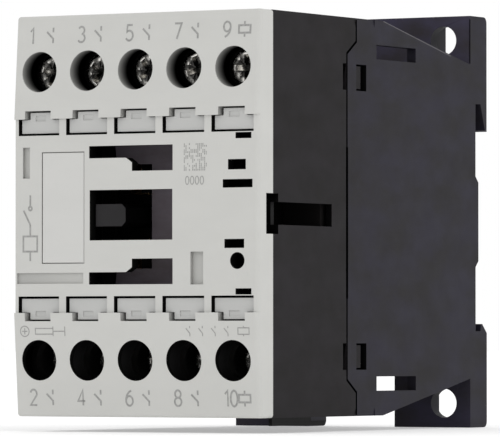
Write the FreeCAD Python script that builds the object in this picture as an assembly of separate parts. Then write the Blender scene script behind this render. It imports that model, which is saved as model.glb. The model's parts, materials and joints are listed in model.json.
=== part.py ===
import FreeCAD, Part
import math
import os

# Small three-pole power contactor (a control relay with one auxiliary contact), millimetres.
# X is the width, Z is the height, and depths are counted along Y from the foremost plane to the
# mounting plane. export() shifts the depths, so the origin is under the middle of the body.

V = FreeCAD.Vector

# ---------------------------------------------------------------- driving dimensions
WIDTH = 45.0
HEIGHT = 68.0
DEPTH = 75.0
MID = HEIGHT / 2                      # every row of terminals has a twin below this height
SIDE = WIDTH / 2
BODY_HALF = 31.66                     # half height of the covers, the back flange is taller
BODY_LOW = MID - BODY_HALF
BODY_TOP = MID + BODY_HALF

PITCH = 8.9                           # column to column
COLUMNS = [PITCH * k for k in (-2, -1, 0, 1, 2)]
POLES = COLUMNS[:4]                   # three main poles and the auxiliary contact
COIL_COLUMN = COLUMNS[4]

COVER_BACK = 4.8
COVER_SKIN = 2.2
WELL_R = 3.2
WELL_Z = MID + 22.77
MIDDLE_FACE = 0.4                     # depth of the middle face
FACE_OUTER = 1.2                      # depth of the inclined terminal face at its outer edge
FACE_STEP = 15.3                      # half height at which the terminal face begins

SEAM = 28.0                           # front housing meets rear housing
SEAM_BACK = 31.0
SEAM_LOW = 25.9
SEAM_HIGH = 27.9

WALL = 1.4
CHAMBER_HALF = 3.65
CHAMBER_FRONT = 10.0
CHAMBER_REACH = 18.3                  # half height of an arc chamber
BAR_FRONT = 12.3
BAR_THICK = 1.2
BAR_HALF = 3.0
RISER_Z = 52.4

HEAD_R = 2.9
HEAD_TALL = 2.2
SHANK_R = 1.70
THREAD_R = 1.78
SHANK_LONG = 7.2
OPEN_HEAD = 4.75                      # head depth of a screw that is backed out
TIGHT_HEAD = 8.6                      # head depth of a screw that is screwed home
PLATE_THICK = 1.0

TRAVEL = 4.0                          # stroke of the contact carrier
CONTACT_GAP = 2.5
CARRIER_FRONT = 10.4
CARRIER_HALF = 3.4
BRIDGE_FRONT = 16.0
BRIDGE_THICK = 1.0
TIP_THICK = 0.8
TIP_FRONT = BRIDGE_FRONT + BRIDGE_THICK + TIP_THICK + CONTACT_GAP + 0.02

ARMATURE_FRONT = 31.0
CORE_HALF_X = 6.5
CORE_HALF_Z = 19.5
LEG = 6.0
MIDDLE_LEG = 5.5
POLE_FACE = 44.0
CORE_BACK = 68.0
YOKE = 6.0

MOUNT_X = 17.5
MOUNT_Z = 30.0
MOUNT_R = 2.4
FLANGE = 69.2


# ---------------------------------------------------------------- helpers
def block(x0, x1, y0, y1, z0, z1):
    """Box between two corners."""
    return Part.makeBox(x1 - x0, y1 - y0, z1 - z0, V(x0, y0, z0))


def rod(radius, x, z, y0, y1):
    """Cylinder along the depth."""
    return Part.makeCylinder(radius, y1 - y0, V(x, y0, z), V(0, 1, 0))


def side_prism(points, x0, x1):
    """Prism across the width from (depth, height) points."""
    wire = Part.makePolygon([V(x0, y, z) for y, z in points + points[:1]])
    return Part.Face(wire).extrude(V(x1 - x0, 0, 0))


def front_prism(points, y0, y1):
    """Prism along the depth from (x, height) points."""
    wire = Part.makePolygon([V(x, y0, z) for x, z in points + points[:1]])
    return Part.Face(wire).extrude(V(0, y1 - y0, 0))


def below(shape):
    """The same feature in the lower row."""
    return shape.mirror(V(0, 0, MID), V(0, 0, 1))


def leftward(shape):
    """The same feature on the left side."""
    return shape.mirror(V(0, 0, 0), V(1, 0, 0))


def both_rows(shapes):
    return shapes + [below(s) for s in shapes]


def both_sides(shapes):
    return shapes + [leftward(s) for s in shapes]


def joined(shapes):
    return shapes[0].fuse(shapes[1:]).removeSplitter()


def rounded(shape, radius, wanted):
    """Fillet the straight edges whose middle point satisfies wanted(point, direction)."""
    picked = []
    for edge in shape.Edges:
        if edge.Curve.TypeId != "Part::GeomLine":
            continue
        centre = edge.CenterOfMass
        run = edge.Vertexes[-1].Point - edge.Vertexes[0].Point
        if wanted(centre, run):
            picked.append(edge)
    return shape.makeFillet(radius, picked)


def export(name, shape):
    shape = shape.copy()
    shape.translate(V(0, -DEPTH / 2, 0))
    shape.exportStep("parts/" + name + ".step")


def frame_section(half_height, crease=1.3, draft=0.18):
    """Width by height outline whose top and bottom strips lean in a little."""
    low, high = MID - half_height, MID + half_height
    return [
        (SIDE - draft, low), (SIDE, low + crease), (SIDE, high - crease), (SIDE - draft, high),
        (draft - SIDE, high), (-SIDE, high - crease), (-SIDE, low + crease), (draft - SIDE, low),
    ]


# ---------------------------------------------------------------- front cover and its labels
WINDOWS_UPPER = [(-8.4, 44.87), (6.95, 44.87), (6.95, 40.86), (-0.5, 40.86), (-0.5, 42.2),
                 (-1.6, 42.95), (-8.4, 42.95)]
WINDOW_MIDDLE = (-8.3, 6.9, 30.05, 37.95)
MARKER_HALF = 3.8
MARKER_INNER = 12.7                   # inner edge of a marker window, from the mid height
NOTCH_OUTER = 16.6
PLATE_X = (-17.15, -9.4)
PLATE_Z = (26.55, 43.95)


def middle_windows(y0, y1):
    x0, x1, z0, z1 = WINDOW_MIDDLE
    upper = front_prism(WINDOWS_UPPER, y0, y1)
    return [upper, below(upper), block(x0, x1, y0, y1, z0, z1)]


def right_openings(y0, y1):
    """Small openings that lead to the coil column."""
    return [
        block(17.0, 20.2, y0, y1, 40.8, 42.4),
        block(16.05, 21.4, y0, y1, 38.0, 39.3),
        block(16.35, 19.9, y0, y1, 28.65, 30.05),
        rod(1.3, 18.67, 26.7, y0, y1),
        block(18.35, 21.2, y0, y1, 45.6, 46.55),
        block(18.35, 21.2, y0, y1, 21.45, 22.4),
    ]


def marker_window(x, y0, y1):
    """Window with a finger notch, upper row."""
    return joined([
        block(x - MARKER_HALF, x + MARKER_HALF, y0, y1, MID + MARKER_INNER, MID + FACE_STEP),
        block(x - 2.4, x + 2.4, y0, y1, MID + FACE_STEP - 0.5, MID + NOTCH_OUTER),
    ])


def make_front_cover():
    upper = side_prism([(0, MID + FACE_STEP), (FACE_OUTER, BODY_TOP), (COVER_BACK, BODY_TOP),
                        (COVER_BACK, MID + FACE_STEP)], -SIDE, SIDE)
    upper = rounded(upper, 0.7, lambda c, d: c.y < 1.1 and abs(d.z) > 5)
    upper = rounded(upper, 0.5, lambda c, d: c.y < 1.4 and c.z > BODY_TOP - 0.1 and abs(d.x) > 5)
    middle = block(-SIDE, SIDE, MIDDLE_FACE, COVER_BACK, MID - FACE_STEP, MID + FACE_STEP)
    middle = rounded(middle, 0.7, lambda c, d: c.y < 1.1 and abs(d.z) > 5)
    cover = joined([middle, upper, below(upper)])
    inner = block(WALL - SIDE, SIDE - WALL, COVER_SKIN, COVER_BACK, BODY_LOW + WALL, BODY_TOP - WALL)
    cover = cover.cut(inner)
    cover = cover.fuse([rod(WELL_R + 0.9, x, WELL_Z, COVER_SKIN - 0.2, COVER_BACK) for x in COLUMNS])
    window_rim = block(-9.5, 8.1, COVER_SKIN - 0.2, COVER_BACK, 22.2, 45.9)
    cover = cover.fuse(window_rim.cut(block(-8.8, 7.4, 0, 6, 22.9, 45.2)))
    cuts = [rod(WELL_R, x, WELL_Z, -1, 6) for x in COLUMNS]
    cuts += [below(rod(WELL_R, x, WELL_Z, -1, 6)) for x in COLUMNS]
    cuts += [below(rod(WELL_R + 1.0, x, WELL_Z, 1.5, 6)) for x in COLUMNS]
    cuts += both_rows([marker_window(x, -1, 3) for x in COLUMNS])
    cuts += middle_windows(-1, 6)
    cuts += right_openings(-1, 6)
    cuts.append(block(10.2, 12.5, -1, 1.2, 23.05, 28.15))
    cuts.append(block(PLATE_X[0] - 0.1, PLATE_X[1] + 0.1, -1, 1.3, PLATE_Z[0] - 0.1, PLATE_Z[1] + 0.1))
    cuts.append(block(-20.8, -19.5, -1, 0.9, 39.95, 44.85))
    cuts.append(block(-21.9, -9.5, -1, 0.75, 23.3, 25.0))
    cuts += both_sides([block(SIDE - WALL - 0.1, SIDE + 1, 2.7, 6, 30.85, 37.15)])
    return cover.cut(cuts)


def make_label_plate():
    plate = block(PLATE_X[0], PLATE_X[1], MIDDLE_FACE, 1.28, PLATE_Z[0], PLATE_Z[1])
    return plate.makeChamfer(0.12, [e for e in plate.Edges if e.CenterOfMass.y < MIDDLE_FACE + 0.01])


def make_marker_tag(x):
    """Writable tag in a marker window, upper row, with a tab in the notch."""
    body = block(x - 3.45, x + 3.75, 0.85, 2.1, MID + 13.05, MID + FACE_STEP - 0.05)
    tab = block(x - 1.9, x + 2.3, 0.85, 2.1, MID + FACE_STEP - 0.2, MID + NOTCH_OUTER - 0.25)
    groove = block(x - 0.9, x + 1.0, 0.5, 1.05, MID + FACE_STEP - 0.3, MID + NOTCH_OUTER - 0.7)
    return joined([body, tab]).cut(groove)


# ---------------------------------------------------------------- housings
def wire_entry(x):
    """Funnel and throat from the top face into a terminal chamber."""
    mouth = [V(x - 3.9, 6.2, BODY_TOP + 0.1), V(x + 3.9, 6.2, BODY_TOP + 0.1),
             V(x + 3.9, 14.0, BODY_TOP + 0.1), V(x - 3.9, 14.0, BODY_TOP + 0.1)]
    neck = [V(x - 3.3, 7.6, 62.6), V(x + 3.3, 7.6, 62.6), V(x + 3.3, 12.3, 62.6), V(x - 3.3, 12.3, 62.6)]
    rings = [Part.makePolygon(ring + ring[:1]) for ring in (mouth, neck)]
    funnel = Part.makeLoft(rings, True, True)
    return [funnel, block(x - 3.3, x + 3.3, 7.6, 12.3, 60.0, 62.7)]


def terminal_chamber(x):
    """Space for a clamp plate, a terminal bar, its screw and the wire, upper row."""
    shapes = [
        rod(WELL_R + 0.1, x, WELL_Z, COVER_BACK - 1, 7.0),
        block(x - CHAMBER_HALF, x + CHAMBER_HALF, 6.4, BAR_FRONT + BAR_THICK, RISER_Z - 0.1, 61.3),
        rod(2.8, x, WELL_Z, 13.0, 15.3),
        rod(2.2, x, WELL_Z, 15.0, 20.2),
        block(x - BAR_HALF - 0.1, x + BAR_HALF + 0.1, 12.2, SEAM + 4, RISER_Z - 0.1, RISER_Z + BAR_THICK + 0.1),
    ]
    return shapes + wire_entry(x)


def side_t_slot():
    """Slot in the side wall through which a side-mounted attachment reaches the carrier."""
    return [block(SIDE - 3.0, SIDE + 1, 2.7, 6.4, 30.85, 37.15),
            block(SIDE - WALL, SIDE + 1, 6.3, 23.1, 32.3, 35.85)]


def latch_arm():
    """Snap arm of the front housing, right side, upper row."""
    arm = block(20.3, 21.5, 22.6, 34.0, 54.4, 58.0)
    hook = block(21.4, 22.35, 31.25, 32.6, 54.4, 58.0)
    root = block(20.3, SIDE - 0.2, 22.6, 25.8, 53.9, 58.5)
    return joined([arm, hook, root])


def make_front_housing():
    profile = [
        (COVER_BACK, BODY_LOW), (SEAM_BACK, BODY_LOW), (SEAM_BACK, MID - SEAM_HIGH),
        (SEAM, MID - SEAM_LOW), (SEAM, MID + SEAM_LOW), (SEAM_BACK, MID + SEAM_HIGH),
        (SEAM_BACK, BODY_TOP), (COVER_BACK, BODY_TOP),
    ]
    housing = side_prism(profile, -SIDE, SIDE).common(front_prism(frame_section(BODY_HALF), 0, 40))
    cuts = []
    for x in COLUMNS:
        cuts += both_rows(terminal_chamber(x))
    for x in POLES:
        cuts.append(block(x - CHAMBER_HALF, x + CHAMBER_HALF, CHAMBER_FRONT, SEAM + 4,
                          MID - CHAMBER_REACH, MID + CHAMBER_REACH))
    cuts.append(block(COIL_COLUMN - CHAMBER_HALF, COIL_COLUMN + CHAMBER_HALF, 7.4, SEAM + 4,
                      MID - CHAMBER_REACH, MID + CHAMBER_REACH))
    cuts += right_openings(COVER_BACK - 1, 8)
    cuts.append(block(-8.65, 7.25, COVER_BACK - 1, 8.5, 22.9, 45.2))
    cuts.append(block(-8.3, -1.8, 8.0, CHAMBER_FRONT + 1, 25.7, 42.2))
    cuts.append(block(-21.45, 13.0, CHAMBER_FRONT, SEAM + 4, MID - 3.8, MID + 3.8))
    cuts.append(block(-20.9, 20.9, 22.3, SEAM + 4, 8.4, 59.6))
    cuts.append(block(0.2 - SIDE + 1, SIDE - 1.2, SEAM - 0.01, SEAM + 4, BODY_LOW + 1.2, BODY_TOP - 1.2))
    cuts += both_sides(both_rows([block(SIDE - 0.9, SIDE + 1, 26.7, 27.75, 54.1, 58.3)]))
    cuts += both_sides(side_t_slot())
    housing = housing.cut(cuts)
    housing = housing.fuse(both_sides(both_rows([latch_arm()])))
    foot = [block(21.7, 22.3, COVER_BACK, 16.9, 1.1, BODY_LOW + 0.3),
            block(21.7, 22.3, 16.8, 21.3, 1.1, 1.8)]
    return housing.fuse(foot).removeSplitter()


def make_contact_base():
    """Plate behind the fixed contacts, open for the carrier, the coil leads and the snap arms.

    A shallow channel takes the back of the carrier at the end of its stroke.
    """
    plate = block(-20.8, 20.8, 22.4, 26.4, 8.5, 59.5)
    cuts = [block(-9.6, 9.6, 20, 30, MID - 4.0, MID + 4.0)]
    cuts.append(block(-21, 13.0, 20, 19.0 + TRAVEL + 0.4, MID - 3.8, MID + 3.8))
    cuts += both_rows([block(15.9, 19.8, 20, 30, RISER_Z - 0.3, RISER_Z + 1.5)])
    cuts += both_sides(both_rows([block(20.0, 21, 20, 30, 53.6, 58.8)]))
    cuts += both_rows([rod(2.0, x, MID + 10.0, 24.4, 30) for x in POLES])
    return plate.cut(cuts)


def rear_slab():
    """Back of the rear housing: flange, hook, rail seat and lower catch."""
    profile = [
        (FLANGE, 0), (DEPTH, 0), (DEPTH, 15.6), (73.4, 17.1), (72.9, 17.1), (72.8, 15.9),
        (71.1, 15.9), (71.1, 26.5), (72.1, 27.5), (72.1, 40.5), (71.1, 41.5), (71.1, 53.5),
        (72.8, 53.5), (74.4, 49.2), (DEPTH, 49.0), (DEPTH, HEIGHT), (FLANGE, HEIGHT),
    ]
    slab = side_prism(profile, -SIDE, SIDE)
    return rounded(slab, 1.0, lambda c, d: c.y > DEPTH - 0.1 and abs(c.z - MID) > MID - 0.1)


def mounting_hole(x, z, pocket):
    """Through hole with a relief behind the flange's skin."""
    x0, x1, z0, z1 = pocket
    return [rod(MOUNT_R, x, z, FLANGE - 1, DEPTH), block(x0, x1, 71.3, DEPTH + 1, z0, z1)]


def make_rear_housing():
    slope = [
        (SEAM, MID - SEAM_LOW), (SEAM_BACK, MID - SEAM_HIGH), (SEAM_BACK, BODY_LOW), (39.7, BODY_LOW),
        (FLANGE, 8.06), (FLANGE, 2 * MID - 8.06), (39.7, BODY_TOP), (SEAM_BACK, BODY_TOP),
        (SEAM_BACK, MID + SEAM_HIGH), (SEAM, MID + SEAM_LOW),
    ]
    whole = side_prism(slope, -SIDE, SIDE)
    frame = whole.common(front_prism(frame_section(BODY_HALF), SEAM, 37.6))
    skirt = whole.common(block(SIDE - 1.6, SIDE, 37.0, FLANGE + 0.1, 0, HEIGHT))
    box = block(-SIDE, SIDE, SEAM, 71.1, 9.2, 58.8)
    shell = joined([box, frame, rear_slab()] + both_sides([skirt]))
    cuts = [
        block(-21.1, 21.1, SEAM - 1, 69.0, 10.6, 57.4),
        block(-21.1, 21.1, SEAM - 1, 36.2, 3.8, 64.2),
        block(-8.2, 8.2, 37.6, DEPTH + 1, -1, 9.2),
    ]
    cuts += both_sides(both_rows([block(SIDE - 1.7, SIDE + 1, 37.6, 50.6, 59.4, 61.7)]))
    cuts += both_sides(both_rows([block(20.0, SIDE + 1, 31.0, 34.25, 54.1, 58.3)]))
    cuts += both_sides(both_rows([block(20.0, 21.7, SEAM - 1, 35.0, 53.8, 58.6)]))
    cuts += both_sides(mounting_hole(MOUNT_X, MID + MOUNT_Z, (14.8, 21.2, 60.4, 66.9)))
    cuts += both_sides(mounting_hole(MOUNT_X, MID - MOUNT_Z, (13.5, 21.2, 1.1, 7.4)))
    cuts.append(block(-9.3, 9.3, 71.15, 72.75, 50.0, 58.0))
    shell = shell.cut(cuts)
    guides = both_sides(both_rows([block(6.6, 8.2, 61.8, 69.1, 44.0, 52.0)]))
    return shell.fuse(guides).removeSplitter()


# ---------------------------------------------------------------- terminals
def make_screw(x, head_front, turn):
    """Cross-recess terminal screw, upper row. turn sets how the recess is left standing."""
    head = rod(HEAD_R, x, WELL_Z, head_front, head_front + HEAD_TALL)
    rim = [e for e in head.Edges if e.Curve.TypeId == "Part::GeomCircle" and e.CenterOfMass.y < head_front + 0.1]
    head = head.makeFillet(0.45, rim)
    shank = rod(SHANK_R, x, WELL_Z, head_front + HEAD_TALL - 0.1, head_front + HEAD_TALL + SHANK_LONG)
    arms = []
    for angle in (turn, turn + 90):
        arm = block(x - 2.05, x + 2.05, head_front - 1, head_front + 1.5, WELL_Z - 0.45, WELL_Z + 0.45)
        arm.rotate(V(x, 0, WELL_Z), V(0, 1, 0), angle)
        arms.append(arm)
    for angle in (turn + 45, turn + 135):
        tick = block(x - 1.75, x + 1.75, head_front - 1, head_front + 0.35, WELL_Z - 0.12, WELL_Z + 0.12)
        tick.rotate(V(x, 0, WELL_Z), V(0, 1, 0), angle)
        arms.append(tick)
    return joined([head, shank]).cut(arms)


def make_clamp_plate(x, head_front):
    """Saddle plate under the screw head with two lips that grip the wire, upper row."""
    front = head_front + HEAD_TALL + 0.02
    plate = block(x - 3.2, x + 3.2, front, front + PLATE_THICK, 53.2, 60.6)
    lips = [block(x - 3.2, x + 3.2, front + 0.5, front + PLATE_THICK + 0.38, 53.2, 54.0),
            block(x - 3.2, x + 3.2, front + 0.5, front + PLATE_THICK + 0.38, 59.8, 60.6)]
    return joined([plate] + lips).cut(rod(SHANK_R + 0.08, x, WELL_Z, front - 1, front + 3))


def threaded_seat(x):
    """Drawn collar under the screw in a terminal bar."""
    return rod(2.6, x, WELL_Z, BAR_FRONT + 0.1, 15.0)


def make_fixed_contact(x):
    """Terminal bar bent back and inwards to the fixed contact of a pole, upper row."""
    reach = MID + 5.2
    back = TIP_FRONT + TIP_THICK
    profile = [
        (BAR_FRONT, 61.2), (BAR_FRONT + BAR_THICK, 61.2), (BAR_FRONT + BAR_THICK, RISER_Z + BAR_THICK),
        (back + BAR_THICK, RISER_Z + BAR_THICK), (back + BAR_THICK, reach), (back, reach),
        (back, RISER_Z), (BAR_FRONT, RISER_Z),
    ]
    bar = side_prism(profile, x - BAR_HALF, x + BAR_HALF)
    bar = rounded(bar, 1.0, lambda c, d: abs(d.x) > 5 and abs(c.z - RISER_Z - BAR_THICK) < 0.1
                  and c.y > back)
    return joined([bar, threaded_seat(x)]).cut(rod(THREAD_R, x, WELL_Z, 10, 16))


def make_fixed_tip(x):
    return block(x - 2.2, x + 2.2, TIP_FRONT, TIP_FRONT + TIP_THICK, MID + 5.4, MID + 8.3)


def make_coil_terminal():
    """Bar of a coil terminal with the lead that runs back to the bobbin, upper row."""
    x = COIL_COLUMN
    seat = block(x - BAR_HALF, x + BAR_HALF, BAR_FRONT, BAR_FRONT + BAR_THICK, RISER_Z, 61.2)
    lead = block(16.3, 19.3, BAR_FRONT, 44.4, RISER_Z, RISER_Z + 1.0)
    drop = block(13.5, 19.3, 43.6, 44.4, 45.0, RISER_Z + 1.0)
    return joined([seat, lead, drop, threaded_seat(x)]).cut(rod(THREAD_R, x, WELL_Z, 10, 16))


# ---------------------------------------------------------------- moving contact system
def make_carrier():
    """Carrier with one window per pole, a tongue at the front and a yoke for the armature."""
    low, high = MID - CARRIER_HALF, MID + CARRIER_HALF
    window_back = BRIDGE_FRONT + BRIDGE_THICK + 0.05
    bar = block(-21.25, 12.5, CARRIER_FRONT, 19.0, low, high)
    windows = [block(x - 2.75, x + 2.75, CARRIER_FRONT + 1.2, window_back, low - 1, high + 1)
               for x in POLES]
    tongue = front_prism([(-7.8, 32.2), (-2.9, 32.2), (-2.2, 32.9), (-2.2, 35.1), (-2.9, 35.8),
                          (-7.8, 35.8)], 1.25, CARRIER_FRONT + 0.1)
    stem = block(-8.2, 8.2, 18.9, 29.0, low, high)
    yoke = block(-8.2, 8.2, 28.6, 30.95, MID - 6, MID + 6)
    cheeks = both_sides([block(6.65, 8.2, 30.9, 36.3, MID - 6, MID + 6)])
    carrier = joined([bar.cut(windows), tongue, stem, yoke] + cheeks)
    pin_hole = Part.makeCylinder(1.22, 20, V(-10, 33.6, MID), V(1, 0, 0))
    lightening = both_sides([block(1.2, 7.0, 20.5, 27.5, low - 1, high + 1)])
    return carrier.cut([pin_hole] + lightening)


def make_bridge(x):
    """Contact bridge that joins the upper and the lower fixed contact of a pole."""
    outline = [(x - 2.5, 5.2), (x - 1.9, 4.0), (x - 1.9, -4.0), (x - 2.5, -5.2), (x - 2.5, -8.4),
               (x + 2.5, -8.4), (x + 2.5, -5.2), (x + 1.9, -4.0), (x + 1.9, 4.0), (x + 2.5, 5.2),
               (x + 2.5, 8.4), (x - 2.5, 8.4)]
    return front_prism([(px, MID + pz) for px, pz in outline], BRIDGE_FRONT, BRIDGE_FRONT + BRIDGE_THICK)


def make_bridge_tips(x):
    front = BRIDGE_FRONT + BRIDGE_THICK
    tips = both_rows([block(x - 2.0, x + 2.0, front, front + TIP_THICK, MID + 5.6, MID + 8.1)])
    return Part.makeCompound(tips)


def make_coil_spring(x, y0, y1, radius, wire, turns):
    """Helical compression spring along the depth, its wire drawn with eight sides of equal area."""
    length = y1 - y0 - wire
    pitch = length / turns
    helix = Part.makeHelix(pitch, length, radius)
    across = V(1, 0, 0)
    along = V(0, 2 * math.pi * radius, pitch).normalize()
    upright = along.cross(across)
    corner = wire / 2 * math.sqrt(math.pi / (4 * math.sin(math.pi / 4)))
    angles = [math.pi / 8 + k * math.pi / 4 for k in range(8)]
    corners = [V(radius, 0, 0) + across * (corner * math.cos(a)) + upright * (corner * math.sin(a))
               for a in angles]
    section = Part.makePolygon(corners + corners[:1])
    spring = Part.Wire(helix.Edges).makePipeShell([section], True, True)
    spring.rotate(V(0, 0, 0), V(1, 0, 0), -90)
    spring.translate(V(x, y0 + wire / 2, MID))
    return spring


# ---------------------------------------------------------------- magnet and coil
def e_profile(back_near, back_far, leg_end):
    """E outline in (depth, height): back between two depths, legs up to leg_end."""
    low, high = MID - CORE_HALF_Z, MID + CORE_HALF_Z
    return [
        (back_far, low), (back_far, high), (leg_end, high), (leg_end, high - LEG),
        (back_near, high - LEG), (back_near, MID + MIDDLE_LEG), (leg_end, MID + MIDDLE_LEG),
        (leg_end, MID - MIDDLE_LEG), (back_near, MID - MIDDLE_LEG), (back_near, low + LEG),
        (leg_end, low + LEG), (leg_end, low),
    ]


def make_armature():
    profile = e_profile(ARMATURE_FRONT + 5.5, ARMATURE_FRONT, POLE_FACE - TRAVEL - 0.05)
    armature = side_prism(profile, -CORE_HALF_X, CORE_HALF_X)
    return armature.cut(Part.makeCylinder(1.22, 20, V(-10, 33.6, MID), V(1, 0, 0)))


def make_fixed_core():
    core = side_prism(e_profile(CORE_BACK - YOKE, CORE_BACK, POLE_FACE), -CORE_HALF_X, CORE_HALF_X)
    grooves = both_rows([block(-8, 8, POLE_FACE - 1, POLE_FACE + 1.5, 50.1, 51.3)])
    return core.cut(grooves)


def make_shading_ring():
    """Copper loop around part of an outer leg's face, upper row."""
    outer = block(-7.6, 7.6, POLE_FACE + 0.1, POLE_FACE + 1.4, 50.2, 54.6)
    return outer.cut(block(-6.55, 6.55, POLE_FACE - 1, POLE_FACE + 3, 51.2, 53.6))


def make_bobbin():
    tube = block(-7.7, 7.7, 43.5, 61.6, MID - 6.7, MID + 6.7)
    ends = [block(-13.4, 13.4, y, y + 1.0, MID - 13.2, MID + 13.2) for y in (43.5, 60.6)]
    bore = block(-6.8, 6.8, 40, 65, MID - 5.8, MID + 5.8)
    return joined([tube] + ends).cut(bore)


def make_winding():
    wound = block(-12.6, 12.6, 44.55, 60.55, MID - 12.4, MID + 12.4)
    wound = rounded(wound, 4.0, lambda c, d: abs(d.y) > 5)
    return wound.cut(block(-7.75, 7.75, 40, 65, MID - 6.75, MID + 6.75))


def make_damper_pad():
    return block(-6.4, 6.4, CORE_BACK, 69.0, MID - 18, MID + 18)


def make_rail_spring():
    """Bowed leaf that presses on the rail's upper edge."""
    thick = 0.4
    low = [V(-8.6, 71.4, 55.9), V(0, 71.4, 51.6), V(8.6, 71.4, 55.9)]
    high = [p + V(0, 0, thick) for p in low]
    edges = [Part.Arc(*low).toShape(), Part.makeLine(low[2], high[2]),
             Part.Arc(*high[::-1]).toShape(), Part.makeLine(high[0], low[0])]
    return Part.Face(Part.Wire(edges)).extrude(V(0, 1.1, 0))


# ---------------------------------------------------------------- assembly
def export_terminals():
    """Upper screws stand backed out, lower screws are screwed home."""
    for k, x in enumerate(COLUMNS, start=1):
        export("screw_upper_%d" % k, make_screw(x, OPEN_HEAD, 18 * k))
        export("clamp_plate_upper_%d" % k, make_clamp_plate(x, OPEN_HEAD))
        export("screw_lower_%d" % k, below(make_screw(x, TIGHT_HEAD, 31 * k)))
        export("clamp_plate_lower_%d" % k, below(make_clamp_plate(x, TIGHT_HEAD)))
    export("coil_terminal_upper", make_coil_terminal())
    export("coil_terminal_lower", below(make_coil_terminal()))


def export_contacts():
    for k, x in enumerate(POLES, start=1):
        export("fixed_contact_upper_%d" % k, make_fixed_contact(x))
        export("fixed_contact_lower_%d" % k, below(make_fixed_contact(x)))
        export("contact_bridge_%d" % k, make_bridge(x))
        export("bridge_tips_%d" % k, make_bridge_tips(x))
        spring = make_coil_spring(x, CARRIER_FRONT + 1.25, BRIDGE_FRONT - 0.05, 1.7, 0.5, 3)
        export("contact_spring_%d" % k, spring)
    export("fixed_tips", Part.makeCompound(both_rows([make_fixed_tip(x) for x in POLES])))


def main():
    os.makedirs("parts", exist_ok=True)
    export("front_cover", make_front_cover())
    export("label_plate", make_label_plate())
    tags = [make_marker_tag(x) for x in COLUMNS]
    export("marker_tags_upper", Part.makeCompound(tags))
    export("marker_tags_lower", Part.makeCompound([below(tag) for tag in tags]))
    export("front_housing", make_front_housing())
    export("contact_base", make_contact_base())
    export("rear_housing", make_rear_housing())
    export_terminals()
    export_contacts()
    export("contact_carrier", make_carrier())
    export("armature", make_armature())
    pin = Part.makeCylinder(1.2, 16.4, V(-8.2, 33.6, MID), V(1, 0, 0))
    export("armature_pin", pin)
    export("return_spring", make_coil_spring(0, ARMATURE_FRONT + 5.55, 43.45, 9.6, 0.8, 3))
    export("coil_bobbin", make_bobbin())
    export("coil_winding", make_winding())
    export("fixed_core", make_fixed_core())
    export("shading_rings", Part.makeCompound(both_rows([make_shading_ring()])))
    export("damper_pad", make_damper_pad())
    export("rail_spring", make_rail_spring())


main()
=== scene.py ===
"""Looks of a small power contactor: finishes, printing, softened edges, wound coil, light and camera."""
import json
import math
import random

import bmesh
import bpy
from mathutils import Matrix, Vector


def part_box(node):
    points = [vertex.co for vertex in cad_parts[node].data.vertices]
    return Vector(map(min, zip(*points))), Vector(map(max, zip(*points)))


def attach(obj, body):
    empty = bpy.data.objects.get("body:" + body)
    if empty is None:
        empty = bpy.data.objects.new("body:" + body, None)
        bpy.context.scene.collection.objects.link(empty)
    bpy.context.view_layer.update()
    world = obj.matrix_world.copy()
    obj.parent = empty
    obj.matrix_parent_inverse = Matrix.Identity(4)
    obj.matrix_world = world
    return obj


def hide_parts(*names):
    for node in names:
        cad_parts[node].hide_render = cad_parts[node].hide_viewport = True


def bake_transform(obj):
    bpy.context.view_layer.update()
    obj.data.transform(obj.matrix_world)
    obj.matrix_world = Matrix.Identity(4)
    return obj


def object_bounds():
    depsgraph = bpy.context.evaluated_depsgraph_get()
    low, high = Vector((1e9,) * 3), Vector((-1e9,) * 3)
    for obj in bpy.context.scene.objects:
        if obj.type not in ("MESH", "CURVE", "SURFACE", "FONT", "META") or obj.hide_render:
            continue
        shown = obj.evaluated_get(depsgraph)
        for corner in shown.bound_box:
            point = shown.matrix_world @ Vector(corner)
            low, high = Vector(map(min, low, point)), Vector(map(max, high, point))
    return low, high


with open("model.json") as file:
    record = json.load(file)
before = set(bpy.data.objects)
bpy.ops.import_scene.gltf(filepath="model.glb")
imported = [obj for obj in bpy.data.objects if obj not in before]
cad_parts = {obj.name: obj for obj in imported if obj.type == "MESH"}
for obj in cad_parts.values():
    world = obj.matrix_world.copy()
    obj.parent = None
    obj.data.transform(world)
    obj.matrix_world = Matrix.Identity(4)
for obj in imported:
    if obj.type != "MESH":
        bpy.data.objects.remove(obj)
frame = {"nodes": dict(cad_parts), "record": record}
cad_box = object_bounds()

# ---------------------------------------------------------------- sizes read from the frame
MM = 0.001
NODES = frame["nodes"]
BODY_OF = {node: body for body, nodes in frame["record"]["behaviour"]["bodies"].items() for node in nodes}
SLOT_OF = {part["node"]: part["material_slot"] for part in frame["record"]["subparts"]}

LOW, HIGH = cad_box
CENTRE = (LOW + HIGH) / 2
FRONT_Y = LOW.y
MID_Z = CENTRE.z
COLUMNS = [sum(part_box(f"screw_upper_{k}")[i].x for i in (0, 1)) / 2 for k in range(1, 6)]
SCREW_Z = sum(end.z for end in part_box("screw_upper_1")) / 2

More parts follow.
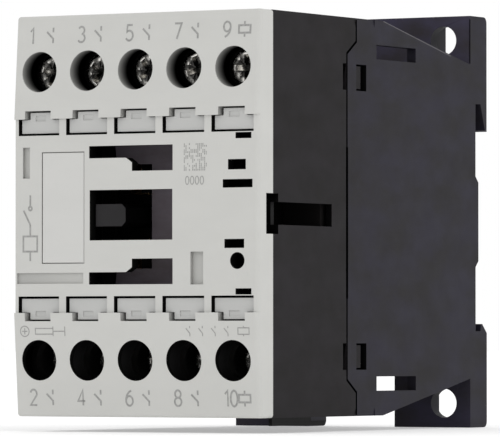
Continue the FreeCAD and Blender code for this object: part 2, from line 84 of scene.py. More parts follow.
FACE_STEP = 15.3 * MM                # half height of the middle face
FACE_SLOPE = 1.2 / 16.36             # depth gained per height on the terminal faces
MIDDLE_DEPTH = 0.4 * MM              # how far the middle face lies behind the foremost edge
OPEN_DEPTH = 1.35 * MM               # nothing on the cover's open faces lies deeper than this
RECESS_DEPTH = 0.6 * MM              # the floors of the shallow recesses lie deeper than this
DARK_DEPTH = 4.4 * MM                # depth at which the wall of a well is fully dark
WELL_REACH = 3.5 * MM                # half width of the square around a well
NOTCH_REACH = 2.5 * MM               # half width of the finger notch of a marker window
SIDE_EDGE = 22.2 * MM                # anything further out is on the outside of the sides
END_EDGE = 31.4 * MM                 # and this is the same above and below the middle
FOOT_TOP = 2.32 * MM                 # only the foot lies lower than this on the front housing
WINDOW_FLOOR = (7.5 * MM, 9.5 * MM)  # depths that hold the floor behind the middle windows
FLANGE_FACE = (68 * MM, 70.5 * MM)   # depths that hold the face of the flange
SNAP_WINDOW = (30.9 * MM, 34.4 * MM)  # depths that hold the walls of the snap windows
TENT_LOW = 0.80                      # strength of the light tent from below and from above
TENT_HIGH = 1.07
FLOOR_GLOW = 0.40                    # lit from below like a light table, which keeps the shadow faint


# ---------------------------------------------------------------- node helpers
def new_material(name):
    """Empty material with a principled shader joined to its output."""
    material = bpy.data.materials.new(name)
    material.use_nodes = True
    tree = material.node_tree
    tree.nodes.clear()
    output = tree.nodes.new("ShaderNodeOutputMaterial")
    shader = tree.nodes.new("ShaderNodeBsdfPrincipled")
    tree.links.new(shader.outputs["BSDF"], output.inputs["Surface"])
    return material, tree, shader


def object_noise(tree, scale, detail=3.0, roughness=0.55, stretch=(1, 1, 1)):
    """Noise in the object's own metres, scale is in features per metre."""
    place = tree.nodes.new("ShaderNodeTexCoord")
    mapping = tree.nodes.new("ShaderNodeMapping")
    mapping.inputs["Scale"].default_value = stretch
    noise = tree.nodes.new("ShaderNodeTexNoise")
    noise.inputs["Scale"].default_value = scale
    noise.inputs["Detail"].default_value = detail
    noise.inputs["Roughness"].default_value = roughness
    tree.links.new(place.outputs["Object"], mapping.inputs["Vector"])
    tree.links.new(mapping.outputs["Vector"], noise.inputs["Vector"])
    return noise.outputs["Fac"]


def ramp(tree, value, stops):
    """Colour ramp from (position, colour) stops."""
    node = tree.nodes.new("ShaderNodeValToRGB")
    elements = node.color_ramp.elements
    elements[0].position, elements[0].color = stops[0][0], (*stops[0][1], 1)
    elements[1].position, elements[1].color = stops[-1][0], (*stops[-1][1], 1)
    for position, colour in stops[1:-1]:
        elements.new(position).color = (*colour, 1)
    tree.links.new(value, node.inputs["Fac"])
    return node.outputs["Color"]


def scaled(tree, value, low, high):
    """Value from 0 to 1 brought to the range low to high."""
    node = tree.nodes.new("ShaderNodeMapRange")
    node.inputs["To Min"].default_value = low
    node.inputs["To Max"].default_value = high
    tree.links.new(value, node.inputs["Value"])
    return node.outputs["Result"]


def painted_light_and_shade(tree, power):
    """Painted light and shade from the mesh's shade attribute: 1 on open faces, near 0 deep inside where
    shade is painted, above 1 where light is painted; raised to a power.
    """
    source = tree.nodes.new("ShaderNodeAttribute")
    source.attribute_name = "shade"
    curve = tree.nodes.new("ShaderNodeMath")
    curve.operation = "POWER"
    curve.inputs[1].default_value = power
    tree.links.new(source.outputs["Fac"], curve.inputs[0])
    return curve.outputs["Value"]


def multiplied(tree, colour, factor):
    """Colour times a number, both from other nodes."""
    product = tree.nodes.new("ShaderNodeVectorMath")
    product.operation = "SCALE"
    tree.links.new(colour, product.inputs[0])
    tree.links.new(factor, product.inputs["Scale"])
    return product.outputs["Vector"]


def add_bump(tree, shader, height, strength, distance, below=None):
    """Bump from a height value; below is the normal of a bump under it."""
    bump = tree.nodes.new("ShaderNodeBump")
    bump.inputs["Strength"].default_value = strength
    bump.inputs["Distance"].default_value = distance
    tree.links.new(height, bump.inputs["Height"])
    if below is not None:
        tree.links.new(below, bump.inputs["Normal"])
    tree.links.new(bump.outputs["Normal"], shader.inputs["Normal"])
    return bump.outputs["Normal"]


def tint(colour, factor):
    """Colour made lighter or darker by a factor."""
    return tuple(min(1.0, c * factor) for c in colour)


# ---------------------------------------------------------------- materials
def moulded_plastic(name, colour, roughness=0.5, grain=0.5, mottle=0.05, specular=0.45, shaded=0.0, cool=0.0,
                    fading=True):
    """Injection moulded plastic: eroded grain, slight flow mottling, uneven gloss.

    With shaded above 0 the mesh's own shade attribute, to that power, is painted into the colour: painted
    shade darkens its wells and slots, painted light lifts a few faces.
    cool adds a bluish cast to the lighter patches of the mottling. fading lets the painted light and shade
    scale the gleam as well.
    """
    material, tree, shader = new_material(name)
    flow = object_noise(tree, 90, 4, 0.6, (1, 1, 2.2))
    red, green, blue = tint(colour, 1 + mottle)
    light = (red * (1 - cool * 0.3), green * (1 - cool * 0.2), blue * (1 + cool))
    skin = ramp(tree, flow, [(0.36, tint(colour, 1 - mottle)), (0.64, light)])
    shader.inputs["Specular IOR Level"].default_value = specular
    if shaded:
        # painted light and shade: the shade attribute scales the colour, and with fading the specular level
        # too
        depth = painted_light_and_shade(tree, shaded)
        skin = multiplied(tree, skin, depth)
    if shaded and fading:
        gleam = tree.nodes.new("ShaderNodeMath")
        gleam.operation = "MULTIPLY"
        gleam.inputs[1].default_value = specular
        tree.links.new(depth, gleam.inputs[0])
        tree.links.new(gleam.outputs["Value"], shader.inputs["Specular IOR Level"])
    tree.links.new(skin, shader.inputs["Base Color"])
    gloss = object_noise(tree, 260, 3)
    tree.links.new(scaled(tree, gloss, roughness - 0.07, roughness + 0.07), shader.inputs["Roughness"])
    waves = add_bump(tree, shader, object_noise(tree, 150, 2), 0.10, 0.0003)
    add_bump(tree, shader, object_noise(tree, 5200, 2, 0.7), grain, 0.00002, waves)
    return material


def plated_metal(name, colour, roughness=0.25, scratch=0.25, stretch=(1, 1, 1), stain=0.12):
    """Plated or drawn metal with fine scratches and faint stains."""
    material, tree, shader = new_material(name)
    shader.inputs["Metallic"].default_value = 1.0
    cloud = object_noise(tree, 700, 4, 0.6)
    tree.links.new(ramp(tree, cloud, [(0.35, tint(colour, 1 - stain)), (0.65, colour)]),
                   shader.inputs["Base Color"])
    tree.links.new(scaled(tree, object_noise(tree, 1500, 3), roughness - 0.08, roughness + 0.12),
                   shader.inputs["Roughness"])
    add_bump(tree, shader, object_noise(tree, 4000, 3, 0.6, stretch), scratch, 0.00001)
    return material


def screw_plating(name, colour):
    """Nickel on a pressed screw: the rim of the head at the nickel's own brightness, the face painted dark
    around the recess as a painted reflection of the dark well.
    """
    material, tree, shader = new_material(name)
    shader.inputs["Metallic"].default_value = 1.0
    place = tree.nodes.new("ShaderNodeTexCoord")
    offset = tree.nodes.new("ShaderNodeVectorMath")
    offset.operation = "SUBTRACT"
    offset.inputs[1].default_value = (0.5, 0.5, 0.5)
    flat = tree.nodes.new("ShaderNodeVectorMath")
    flat.operation = "MULTIPLY"
    flat.inputs[1].default_value = (2, 0, 2)
    radius = tree.nodes.new("ShaderNodeVectorMath")
    radius.operation = "LENGTH"
    tree.links.new(place.outputs["Generated"], offset.inputs[0])
    tree.links.new(offset.outputs["Vector"], flat.inputs[0])
    tree.links.new(flat.outputs["Vector"], radius.inputs[0])
    ragged = tree.nodes.new("ShaderNodeMath")
    ragged.operation = "MULTIPLY_ADD"
    ragged.inputs[1].default_value = 0.55
    tree.links.new(object_noise(tree, 1100, 2, 0.5), ragged.inputs[0])
    tree.links.new(radius.outputs["Value"], ragged.inputs[2])
    # painted reflection: the head's face dark around the recess, fading raggedly to the nickel's colour at
    # the rim
    painted_dark_face = ramp(tree, ragged.outputs["Value"],
                [(0.80, tint(colour, 0.08)), (0.89, tint(colour, 0.45)), (0.95, colour)])
    tree.links.new(painted_dark_face, shader.inputs["Base Color"])
    tree.links.new(scaled(tree, object_noise(tree, 1500, 3), 0.16, 0.34), shader.inputs["Roughness"])
    add_bump(tree, shader, object_noise(tree, 1800, 3, 0.6), 0.35, 0.00003)
    return material


def laminated_steel(name, colour):
    """Stack of punched sheets whose edges show as fine lines across the width."""
    material, tree, shader = new_material(name)
    shader.inputs["Metallic"].default_value = 1.0
    place = tree.nodes.new("ShaderNodeTexCoord")
    wave = tree.nodes.new("ShaderNodeTexWave")
    wave.bands_direction = "X"
    wave.inputs["Scale"].default_value = 640
    wave.inputs["Distortion"].default_value = 0.3
    tree.links.new(place.outputs["Object"], wave.inputs["Vector"])
    tree.links.new(ramp(tree, wave.outputs["Fac"], [(0.05, tint(colour, 0.35)), (0.3, colour)]),
                   shader.inputs["Base Color"])
    tree.links.new(scaled(tree, object_noise(tree, 900, 3), 0.32, 0.5), shader.inputs["Roughness"])
    add_bump(tree, shader, wave.outputs["Fac"], 0.5, 0.00003)
    return material


def printing_ink(name, colour, specular=0.4):
    """Laser-marked or pad-printed grey, thin and a little uneven."""
    material, tree, shader = new_material(name)
    shader.inputs["Specular IOR Level"].default_value = specular
    patch = object_noise(tree, 2600, 3)
    tree.links.new(ramp(tree, patch, [(0.3, tint(colour, 0.85)), (0.75, tint(colour, 1.3))]),
                   shader.inputs["Base Color"])
    shader.inputs["Roughness"].default_value = 0.6
    add_bump(tree, shader, object_noise(tree, 5200, 2), 0.2, 0.00001)
    return material


def soft_rubber(name, colour):
    """Black rubber, dull and a little dusty."""
    material, tree, shader = new_material(name)
    dust = ramp(tree, object_noise(tree, 400, 4), [(0.3, tint(colour, 0.8)), (0.7, tint(colour, 1.4))])
    tree.links.new(dust, shader.inputs["Base Color"])
    tree.links.new(scaled(tree, object_noise(tree, 900, 3), 0.7, 0.9), shader.inputs["Roughness"])
    add_bump(tree, shader, object_noise(tree, 3000, 3), 0.5, 0.00004)
    return material


def floor_paint(name, colour):
    """Pale floor that glows a little."""
    material, tree, shader = new_material(name)
    tree.links.new(ramp(tree, object_noise(tree, 3, 3), [(0.3, tint(colour, 0.985)), (0.7, colour)]),
                   shader.inputs["Base Color"])
    tree.links.new(scaled(tree, object_noise(tree, 8, 3), 0.75, 0.85), shader.inputs["Roughness"])
    shader.inputs["Emission Color"].default_value = (1, 1, 1, 1)
    shader.inputs["Emission Strength"].default_value = FLOOR_GLOW
    return material


# cover_grey, housing_dark, base_dark and carrier_black take painted light and shade from the mesh's shade
# attribute
FINISHES = {
    "cover_grey": moulded_plastic("cover_grey", (0.547, 0.546, 0.524), 0.55, 0.30, 0.015, 0.30, 1.6),
    "label_grey": moulded_plastic("label_grey", (0.572, 0.570, 0.552), 0.50, 0.15, 0.012, 0.30),
    "tag_grey": moulded_plastic("tag_grey", (0.493, 0.494, 0.482), 0.50, 0.15, 0.02, 0.30),
    "housing_dark": moulded_plastic("housing_dark", (0.0108, 0.0093, 0.0100), 0.55, 0.5, 0.20, 0.11, 1.0,
                                    0.08, False),
    "base_dark": moulded_plastic("base_dark", (0.0152, 0.0134, 0.0164), 0.52, 0.5, 0.22, 0.14, 1.0,
                                 0.30, False),
    "inner_plastic": moulded_plastic("inner_plastic", (0.010, 0.009, 0.009), 0.6, 0.5, 0.1, 0.10),
    "carrier_black": moulded_plastic("carrier_black", (0.0125, 0.0115, 0.0125), 0.45, 0.4, 0.15, 0.22, 1.0),
    "bobbin_plastic": moulded_plastic("bobbin_plastic", (0.62, 0.60, 0.54), 0.35, 0.2, 0.03),
    "screw_nickel": screw_plating("screw_nickel", (0.80, 0.78, 0.74)),
    "clamp_zinc": plated_metal("clamp_zinc", (0.66, 0.66, 0.64), 0.36, 0.3, (1, 1, 0.1)),
    "contact_copper": plated_metal("contact_copper", (0.80, 0.50, 0.30), 0.32, 0.3, (1, 0.1, 0.1)),
    "tip_silver": plated_metal("tip_silver", (0.84, 0.83, 0.80), 0.3, 0.2),
    "spring_steel": plated_metal("spring_steel", (0.55, 0.55, 0.56), 0.25, 0.2),
    "pin_steel": plated_metal("pin_steel", (0.6, 0.6, 0.6), 0.22, 0.2, (0.1, 1, 1)),
    "ring_copper": plated_metal("ring_copper", (0.82, 0.44, 0.27), 0.3, 0.2),
    "winding_copper": plated_metal("winding_copper", (0.66, 0.28, 0.10), 0.28, 0.1),
    "core_steel": laminated_steel("core_steel", (0.42, 0.42, 0.44)),
    "pad_rubber": soft_rubber("pad_rubber", (0.03, 0.03, 0.03)),
}
INK = printing_ink("grey_ink", (0.29, 0.29, 0.28))
GAP = printing_ink("gap_shadow", (0.0008, 0.0008, 0.0009), 0.0)
# painted highlight: a strip lighter than the housing along the shoulder's edge
EDGE = printing_ink("painted_edge_highlight", (0.085, 0.080, 0.088))


# ---------------------------------------------------------------- mesh helpers
def link(name, mesh, material, body, slot=None):
    """New visible piece on a body."""
    piece = bpy.data.objects.new(name, mesh)
    bpy.context.scene.collection.objects.link(piece)
    mesh.materials.clear()
    mesh.materials.append(material)
    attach(piece, body)
    return piece


def mesh_from(vertices, faces, name):
    """Mesh of plain vertices and faces."""
    mesh = bpy.data.meshes.new(name)
    mesh.from_pydata([tuple(v) for v in vertices], [], faces)
    mesh.update()
    return mesh


def is_outside(middle):
    """True for a face on the outside of the sides, the top or the bottom."""
    return abs(middle.x) > SIDE_EDGE or abs(middle.z - MID_Z) > END_EDGE


def cover_painted_shade(normal, middle, corner, deepest):
    """Painted shade on a corner of the cover: the faces 1, recess floors a little darker with a painted
    shadow at the left, walls of wells and windows darker inwards.
    """
    if is_outside(middle):
        return 1.0
    height = abs(middle.z - MID_Z)
    if normal.y < -0.5 and deepest < OPEN_DEPTH:
        if deepest < RECESS_DEPTH or height > FACE_STEP:
            return 1.0
        # painted shade on the floors of the shallow recesses, with a painted shadow at the left end of the
        # recesses on the left
        return 0.82 if corner.x < middle.x and middle.x < -9 * MM else 0.92
    # painted shade on the walls below: darker the deeper they lie, the lower wells painted black
    inward = min(1.0, max(0.0, (corner.y - FRONT_Y) / DARK_DEPTH))
    column = min(abs(middle.x - x) for x in COLUMNS)
    if column < WELL_REACH and abs(middle.z - SCREW_Z) < WELL_REACH:
        return 0.98 - 1.40 * inward
    if column < WELL_REACH and abs(2 * MID_Z - middle.z - SCREW_Z) < WELL_REACH:
        return 0.06
    if deepest < OPEN_DEPTH:
        return 0.80
    if height > FACE_STEP and column < NOTCH_REACH:
        return 0.85 - 0.5 * inward
    return 0.08 - 0.07 * inward


def front_housing_painted_light_and_shade(normal, middle, corner, deepest):
    """Painted light and shade: open sides 1, the foot painted black, the floor behind the middle windows
    painted lighter, the rest inside painted near black.
    """
    if middle.z < FOOT_TOP:
        return 0.05
    if is_outside(middle):
        return 1.0
    at_floor = WINDOW_FLOOR[0] < middle.y - FRONT_Y < WINDOW_FLOOR[1]
    in_window = middle.x > -8 * MM and abs(middle.z - MID_Z) < 12 * MM
    # painted light: the floor behind the middle windows at 16 times its colour
    if normal.y < -0.9 and at_floor and in_window:
        return 16.0
    # painted shade: everything else inside near black
    return 0.10


def rear_housing_painted_light_and_shade(normal, middle, corner, deepest):
    """Painted light on the flange's face, a little lighter, and painted shade on the walls of the snap
    windows, black.
    """
    depth = middle.y - FRONT_Y
    # painted light on the flange's face, then painted shade in the snap windows
    if normal.y < -0.9 and FLANGE_FACE[0] < depth < FLANGE_FACE[1]:
        return 3.0 if middle.z > MID_Z else 1.6
    if SNAP_WINDOW[0] < depth < SNAP_WINDOW[1] and 19.9 * MM < abs(middle.x) < 22.3 * MM:
        return 0.05
    return 1.0


def carrier_painted_shade(normal, middle, corner, deepest):
    """Painted shade: the tongue's face 1, everything behind it painted near black."""
    return 1.0 if normal.y < -0.5 and middle.y - FRONT_Y < 3 * MM else 0.12


# rules of painted light and shade, one per CAD node
PAINTED_LIGHT_AND_SHADE_RULES = {
    "contact_carrier": carrier_painted_shade,
    "front_cover": cover_painted_shade, "front_housing": front_housing_painted_light_and_shade, "rear_housing": rear_housing_painted_light_and_shade,
}


def write_painted_light_and_shade(bm, rule):
    """Store a rule's painted light and shade for every corner of every face."""
    layer = bm.loops.layers.float_color.new("shade")
    for face in bm.faces:
        middle = face.calc_center_median()
        deepest = max(v.co.y for v in face.verts) - FRONT_Y
        for loop in face.loops:
            value = rule(face.normal, middle, loop.vert.co, deepest)
            loop[layer] = (value, value, value, 1)


def softened(node, bevel):
    """Copy of a CAD node with clean faces and rounded edges, which stands for the node."""
    mesh = NODES[node].data.copy()
    bm = bmesh.new()
    bm.from_mesh(mesh)
    bmesh.ops.remove_doubles(bm, verts=bm.verts, dist=2e-7)
    bmesh.ops.dissolve_degenerate(bm, dist=1e-7, edges=bm.edges)
    # painted light and shade stored on the corners of the nodes that have a rule
    if node in PAINTED_LIGHT_AND_SHADE_RULES:
        bm.normal_update()
        write_painted_light_and_shade(bm, PAINTED_LIGHT_AND_SHADE_RULES[node])
    bm.to_mesh(mesh)
    bm.free()
    for polygon in mesh.polygons:
        polygon.use_smooth = True
    slot = SLOT_OF[node]
    piece = link("shape_" + node, mesh, FINISHES[slot], BODY_OF[node], slot)
    rounding = piece.modifiers.new("rounding", "BEVEL")
    rounding.width = bevel
    rounding.segments = 2
    rounding.limit_method = "ANGLE"
    rounding.angle_limit = math.radians(32)
    rounding.use_clamp_overlap = True
    rounding.harden_normals = True
    rounding.miter_outer = "MITER_ARC"
    levelled = piece.modifiers.new("levelled", "WEIGHTED_NORMAL")
    levelled.weight = 100
    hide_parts(node)


def finish_remaining(done):
    """Every CAD node that stays visible gets its finish."""
    for node, item in NODES.items():
        if node in done:
            continue
        item.data.materials.clear()
        item.data.materials.append(FINISHES[SLOT_OF[node]])


# ---------------------------------------------------------------- camera, light and floor
def make_camera():
    """Long lens at the right of the front, nearly level with the middle."""
    azimuth = math.radians(30.596)
    climb = math.radians(1.286)       # the lens looks slightly upwards
    distance = 0.8783
    aim = CENTRE + Vector((-0.85, -0.23, -0.18)) * MM
    level = math.cos(climb)
    forward = Vector((-math.sin(azimuth) * level, math.cos(azimuth) * level, math.sin(climb)))
    data = bpy.data.cameras.new("camera")
    data.sensor_width = 36.0
    data.lens = 389.8
    data.clip_start, data.clip_end = 0.05, 50
    camera = bpy.data.objects.new("camera", data)
    camera.location = aim - forward * distance
    camera.rotation_euler = forward.to_track_quat("-Z", "Y").to_euler()
    bpy.context.scene.collection.objects.link(camera)
    bpy.context.scene.camera = camera


def area_light(name, place, aim, size, power):
    """Round soft lamp."""
    data = bpy.data.lights.new(name, "AREA")
    data.shape = "DISK"
    data.size = size
    data.energy = power
    lamp = bpy.data.objects.new(name, data)
    lamp.location = place
    lamp.rotation_euler = (Vector(aim) - Vector(place)).to_track_quat("-Z", "Y").to_euler()
    bpy.context.scene.collection.objects.link(lamp)


def make_world():
    """Light tent, a little brighter overhead; the camera sees plain white behind."""
    world = bpy.data.worlds.new("studio")
    bpy.context.scene.world = world
    world.use_nodes = True
    tree = world.node_tree
    lit = tree.nodes["Background"]
    lit.inputs["Color"].default_value = (1, 1, 1, 1)
    towards = tree.nodes.new("ShaderNodeVectorMath")
    towards.operation = "DOT_PRODUCT"
    towards.inputs[1].default_value = Vector((0.25, 0.25, 0.90)).normalized()
    direction = tree.nodes.new("ShaderNodeTexCoord")
    tree.links.new(direction.outputs["Generated"], towards.inputs[0])
    strength = tree.nodes.new("ShaderNodeMapRange")
    strength.inputs["From Min"].default_value = -1.0
    strength.inputs["To Min"].default_value = TENT_LOW
    strength.inputs["To Max"].default_value = TENT_HIGH
    tree.links.new(towards.outputs["Value"], strength.inputs["Value"])
    tree.links.new(strength.outputs["Result"], lit.inputs["Strength"])
    behind = tree.nodes.new("ShaderNodeBackground")
    behind.inputs["Color"].default_value = (1, 1, 1, 1)
    seen = tree.nodes.new("ShaderNodeLightPath")
    mix = tree.nodes.new("ShaderNodeMixShader")
    tree.links.new(seen.outputs["Is Camera Ray"], mix.inputs["Fac"])
    tree.links.new(lit.outputs["Background"], mix.inputs[1])
    tree.links.new(behind.outputs["Background"], mix.inputs[2])
    tree.links.new(mix.outputs["Shader"], tree.nodes["World Output"].inputs["Surface"])


def make_light():
    """Tent and two soft lamps, shown without a film curve."""
    make_world()
    area_light("key", (-0.45, -0.95, 0.65), CENTRE, 0.5, 0.35)
    area_light("right", (0.95, -0.15, 0.30), CENTRE, 0.5, 0.5)
    bpy.context.scene.view_settings.view_transform = "Standard"


def make_floor():
    """Wide floor just under the part."""
    bm = bmesh.new()
    bmesh.ops.create_grid(bm, x_segments=8, y_segments=8, size=6.0)
    mesh = bpy.data.meshes.new("floor")
    bm.to_mesh(mesh)
    bm.free()
    mesh.materials.append(floor_paint("floor_paint", (0.64, 0.64, 0.64)))
    floor = bpy.data.objects.new("floor", mesh)
    floor.location.z = LOW.z - 0.05 * MM
    bpy.context.scene.collection.objects.link(floor)


make_camera()
make_light()
make_floor()

# ---------------------------------------------------------------- housings and covers
ROUNDED = {
    "front_cover": 0.14, "label_plate": 0.05, "front_housing": 0.16, "rear_housing": 0.20,
    "contact_base": 0.15, "contact_carrier": 0.15, "marker_tags_upper": 0.08, "marker_tags_lower": 0.08,
    "coil_bobbin": 0.2, "armature": 0.15, "fixed_core": 0.15, "damper_pad": 0.1,
    "coil_terminal_upper": 0.12, "coil_terminal_lower": 0.12,
}
for k in range(1, 5):
    ROUNDED[f"contact_bridge_{k}"] = 0.12
    ROUNDED[f"fixed_contact_upper_{k}"] = 0.12
    ROUNDED[f"fixed_contact_lower_{k}"] = 0.12
for k in range(1, 6):
    for row in ("upper", "lower"):
        ROUNDED[f"screw_{row}_{k}"] = 0.07
        ROUNDED[f"clamp_plate_{row}_{k}"] = 0.1
for node, width in ROUNDED.items():
    softened(node, width * MM)

# ---------------------------------------------------------------- printing and fine lines
def bow(cx, cz, rx, rz, start, end, steps=12):
    """Points of an elliptic arc in a glyph, angles in degrees."""
    angles = [math.radians(start + (end - start) * k / steps) for k in range(steps + 1)]
    return [(cx + rx * math.cos(a), cz + rz * math.sin(a)) for a in angles]


GLYPHS = {                           # strokes in a box one high; the first value is the width
    "0": (0.50, [bow(0.25, 0.5, 0.25, 0.5, 0, 360, 20)]),
    "1": (0.20, [[(0.0, 0.78), (0.20, 1.0), (0.20, 0.0)]]),
    "2": (0.50, [bow(0.25, 0.74, 0.24, 0.26, 165, -35) + [(0.0, 0.0), (0.50, 0.0)]]),
    "3": (0.50, [bow(0.24, 0.76, 0.22, 0.24, 150, -80), bow(0.24, 0.27, 0.26, 0.27, 85, -150)]),
    "4": (0.54, [[(0.38, 0.0), (0.38, 1.0), (0.0, 0.28), (0.54, 0.28)]]),
    "5": (0.50, [[(0.46, 1.0), (0.09, 1.0), (0.05, 0.55)] + bow(0.23, 0.32, 0.27, 0.32, 115, -150)]),
    "6": (0.50, [bow(0.25, 0.31, 0.25, 0.31, 0, 360, 20), bow(0.55, 0.36, 0.55, 0.62, 180, 105)]),
    "7": (0.50, [[(0.0, 1.0), (0.50, 1.0), (0.16, 0.0)]]),
    "8": (0.50, [bow(0.25, 0.76, 0.21, 0.24, 0, 360, 20), bow(0.25, 0.27, 0.25, 0.27, 0, 360, 20)]),
    "9": (0.50, [bow(0.25, 0.69, 0.25, 0.31, 0, 360, 20), bow(-0.05, 0.64, 0.55, 0.62, 0, -75)]),
}
GLYPH_GAP = 0.21
LIFT_STEP = 0.0012                   # millimetres between overlapping strokes
INK_RISE = 0.012                     # millimetres that printing stands off the front
SIDE_RISE = 0.0048                   # and off the sides
MARK_TALL = 2.45                     # terminal numbers: height and feet of the rows, millimetres
MARK_UPPER = 61.3
MARK_LOWER = 4.15


def written(text, x, z, height):
    """Strokes of a short text in millimetres, from its lower left corner."""
    strokes = []
    for letter in text:
        width, lines = GLYPHS[letter]
        strokes += [[(x + px * height, z + pz * height) for px, pz in line] for line in lines]
        x += (width + GLYPH_GAP) * height
    return strokes


def front_place(x, z, lift):
    """Point just off the front faces of the cover; x, z and lift in millimetres."""
    below_step = max(0.0, abs(z * MM - MID_Z) - FACE_STEP)
    depth = FACE_SLOPE * below_step if below_step else MIDDLE_DEPTH
    return Vector((x * MM, FRONT_Y + depth - (INK_RISE + lift) * MM, z * MM))


def side_place(side):
    """Placer for points (depth, height) just off a side face; side is -1 or 1."""
    def place(depth, z, lift):
        return Vector((side * (HIGH.x + (SIDE_RISE + lift) * MM), FRONT_Y + depth * MM, z * MM))
    return place


def strip_edges(line, half):
    """Left and right edge points of a polyline's ribbon, mitred at its corners."""
    closed = len(line) > 3 and math.dist(line[0], line[-1]) < 1e-6
    normals = []
    for (ax, az), (bx, bz) in zip(line, line[1:]):
        length = math.hypot(bx - ax, bz - az)
        normals.append(((az - bz) / length, (bx - ax) / length))
    edges = []
    for k, (x, z) in enumerate(line):
        before = normals[k - 1] if k else (normals[-1] if closed else normals[0])
        after = normals[k] if k < len(normals) else (normals[0] if closed else normals[-1])
        nx, nz = before[0] + after[0], before[1] + after[1]
        size = math.hypot(nx, nz) or 1e-9
        reach = half * min(1.7, 2 / size)
        nx, nz = nx / size * reach, nz / size * reach
        edges.append(((x + nx, z + nz), (x - nx, z - nz)))
    return edges


def ribbons(name, strokes, width, place, material):
    """One thin flat piece of ribbons along polylines, each a hair above the last so that none coincide."""
    vertices, faces = [], []
    for order, line in enumerate(strokes):
        lift = LIFT_STEP * (order % 8)
        first = len(vertices)
        for left, right in strip_edges(line, width / 2):
            vertices += [place(*left, lift), place(*right, lift)]
        for k in range(len(line) - 1):
            at = first + 2 * k
            faces.append((at, at + 1, at + 3, at + 2))
    link(name, mesh_from(vertices, faces, name), material, "housing")


def boxed(x0, z0, x1, z1):
    """Outline of a rectangle."""
    return [(x0, z0), (x1, z0), (x1, z1), (x0, z1), (x0, z0)]


def contact_mark(x, z, tall):
    """Strokes of the common drawing symbol of a contact that closes."""
    post = x + 0.60 * tall
    return [[(post, z + tall), (post, z + 0.70 * tall)],
            [(post - 0.48 * tall, z + 0.74 * tall), (post, z + 0.28 * tall), (post, z)]]


def coil_mark(x, z, tall):
    """Strokes of the common drawing symbol of a coil."""
    middle = x + 0.42 * tall
    return [boxed(x, z + 0.26 * tall, x + 0.84 * tall, z + 0.74 * tall),
            [(middle, z + 0.72 * tall), (middle, z + tall)], [(middle, z), (middle, z + 0.28 * tall)]]


def print_terminal_marks():
    """Running numbers over and under the wells, each with the symbol of what it leads to."""
    for word, z, first in (("upper", MARK_UPPER, 1), ("lower", MARK_LOWER, 2)):
        strokes = []
        for k, column in enumerate(COLUMNS):
            number = str(first + 2 * k)
            x = column / MM
            symbol = coil_mark if k == 4 else contact_mark
            strokes += written(number, x - (1.65 if len(number) > 1 else 1.9), z, MARK_TALL)
            strokes += symbol(x + 0.85, z, MARK_TALL)
        ribbons(f"print_terminals_{word}", strokes, 0.32, front_place, INK)


def print_pictograms():
    """Plain circuit symbol beside the label plate, and screw and wire pictograms above the lower wells."""
    x = -19.4
    symbol = [
        [(x, 26.9), (x, 28.4)], boxed(x - 1.3, 28.4, x + 1.3, 30.8), [(x, 30.8), (x, 32.6)],
        [(x, 32.6), (x - 1.25, 34.9)], bow(x, 35.2, 0.3, 0.3, 0, 360), [(x, 35.5), (x, 37.3)],
    ]
    ribbons("print_symbol", symbol, 0.30, front_place, INK)
    z = 15.8
    screw = [bow(-20.3, z, 0.82, 0.82, 0, 360, 20),
             [(-20.8, z), (-19.8, z)], [(-20.3, z - 0.5), (-20.3, z + 0.5)]]
    wire = [boxed(-18.3, z - 0.45, -15.0, z + 0.45), [(-15.0, z), (-12.8, z)],
            [(-15.0, z - 0.75), (-15.0, z + 0.75)], [(-12.8, z - 0.75), (-12.8, z + 0.75)]]
    contacts = []
    for k in range(4):
        x = 10.2 + 2.3 * k
        contacts += [[(x, z - 0.8), (x, z - 0.35)], [(x, z - 0.35), (x - 0.7, z + 0.45)],
                     [(x, z + 0.45), (x, z + 0.8)]]
    coil = [boxed(18.9, z - 0.5, 20.9, z + 0.5), [(19.9, z - 0.8), (19.9, z - 0.5)],
            [(19.9, z + 0.5), (19.9, z + 0.8)]]
    small = screw + wire + contacts + coil
    ribbons("print_small_symbols", small, 0.17, front_place, INK)


def print_dot_field():
    """Meaningless field of dots with four noughts under it, where a lot code goes."""
    draw = random.Random(7)
    cells, left, low, size = 14, 8.95, 40.7, 4.3
    step = size / cells
    dots = []
    for row in range(cells):
        for column in range(cells):
            if draw.random() < 0.52:
                x, z = left + column * step, low + (row + 0.5) * step
                dots.append([(x + step * 0.22, z), (x + step * 0.72, z)])
    ribbons("print_dots", dots, step * 0.85, front_place, INK)
    ribbons("print_noughts", written("0000", 9.3, 38.6, 1.25), 0.15, front_place, INK)


def draw_side_lines():
    """Parting line of the two housings and a faint line along the flange, both drawn in gap shadow, and a
    painted highlight along the edge of the sloping shoulder.
    """
    for side, word in ((-1, "left"), (1, "right")):
        place = side_place(side)
        seam = [(31.0, 2.5), (31.0, 6.1), (28.0, 8.1), (28.0, 59.9), (31.0, 61.9), (31.0, 65.4)]
        ribbons(f"seam_{word}", [seam], 0.42, place, GAP)
        ribbons(f"seam_wide_{word}", [[(28.02, 21.0), (28.02, 45.0)]], 0.66, place, GAP)
        ribbons(f"shoulder_{word}", [[(39.9, 65.58), (62.5, 61.03)]], 0.14, place, EDGE)
        ribbons(f"flange_line_{word}", [[(69.15, 60.1), (69.15, 67.4)]], 0.34, place, GAP)


print_terminal_marks()
print_pictograms()
print_dot_field()
draw_side_lines()


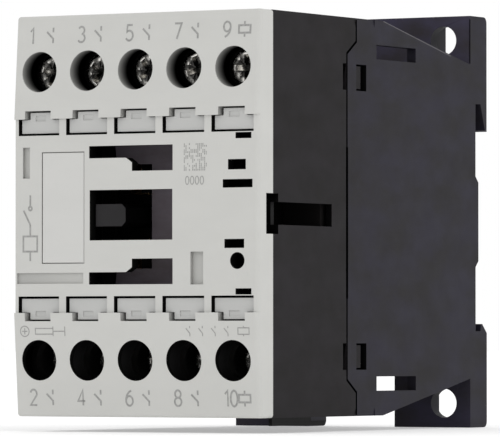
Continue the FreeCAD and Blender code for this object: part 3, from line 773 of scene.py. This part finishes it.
# ---------------------------------------------------------------- wound coil
def wound_coil():
    """Winding drawn turn by turn: a rounded square sleeve whose outside follows every wire."""
    low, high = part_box("coil_winding")
    middle = (low + high) / 2
    half_x, half_z = (high.x - low.x) / 2, (high.z - low.z) / 2
    corner = 4.0 * MM
    wire = 0.5 * MM
    bore_x = 7.75 * MM
    bore_z = 6.75 * MM
    turns = int((high.y - low.y) / wire)
    around = 48
    per_turn = 6
    vertices, faces = [], []
    rows = turns * per_turn
    for row in range(rows + 1):
        phase = row / per_turn
        y = low.y + (high.y - low.y) * row / rows
        sink = wire * 0.42 * (1 - abs(math.sin(math.pi * phase)) ** 0.7)
        for k in range(around):
            angle = 2 * math.pi * (k + 0.5) / around
            c, s = math.cos(angle), math.sin(angle)
            flat_x, flat_z = half_x - corner, half_z - corner
            x = math.copysign(min(abs(c) * 1.45, 1.0) * flat_x, c) + c * (corner - sink)
            z = math.copysign(min(abs(s) * 1.45, 1.0) * flat_z, s) + s * (corner - sink)
            vertices.append(Vector((middle.x + x, y, middle.z + z)))
    for row in range(rows):
        for k in range(around):
            a, b = row * around + k, row * around + (k + 1) % around
            faces.append((a, b, b + around, a + around))
    inner = []
    for y in (low.y, high.y):
        inner.append(len(vertices))
        for k in range(around):
            outer = vertices[k]
            scale = bore_x / max(abs(outer.x - middle.x), 1e-9)
            scale = min(scale, bore_z / max(abs(outer.z - middle.z), 1e-9))
            x, z = (outer.x - middle.x) * scale, (outer.z - middle.z) * scale
            vertices.append(Vector((middle.x + x, y, middle.z + z)))
    last = rows * around
    for k in range(around):
        n = (k + 1) % around
        faces.append((inner[0] + k, inner[0] + n, n, k))
        faces.append((last + k, last + n, inner[1] + n, inner[1] + k))
        faces.append((inner[0] + n, inner[0] + k, inner[1] + k, inner[1] + n))
    mesh = mesh_from(vertices, faces, "wound_coil")
    for polygon in mesh.polygons:
        polygon.use_smooth = True
    piece = link("wound_coil", mesh, FINISHES["winding_copper"], BODY_OF["coil_winding"], "winding_copper")
    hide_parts("coil_winding")


def sprung(node):
    """Copy of a spring with its finish, baked in place, which stands for the hidden CAD node."""
    mesh = NODES[node].data.copy()
    slot = SLOT_OF[node]
    mesh.materials.clear()
    mesh.materials.append(FINISHES[slot])
    piece = bpy.data.objects.new("flexing_" + node, mesh)
    bpy.context.scene.collection.objects.link(piece)
    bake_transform(piece)
    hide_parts(node)


wound_coil()
sprung("return_spring")
for k in range(1, 5):
    sprung(f"contact_spring_{k}")
REPLACED = ["coil_winding", "return_spring"] + [f"contact_spring_{k}" for k in range(1, 5)]
finish_remaining([*ROUNDED, *REPLACED])
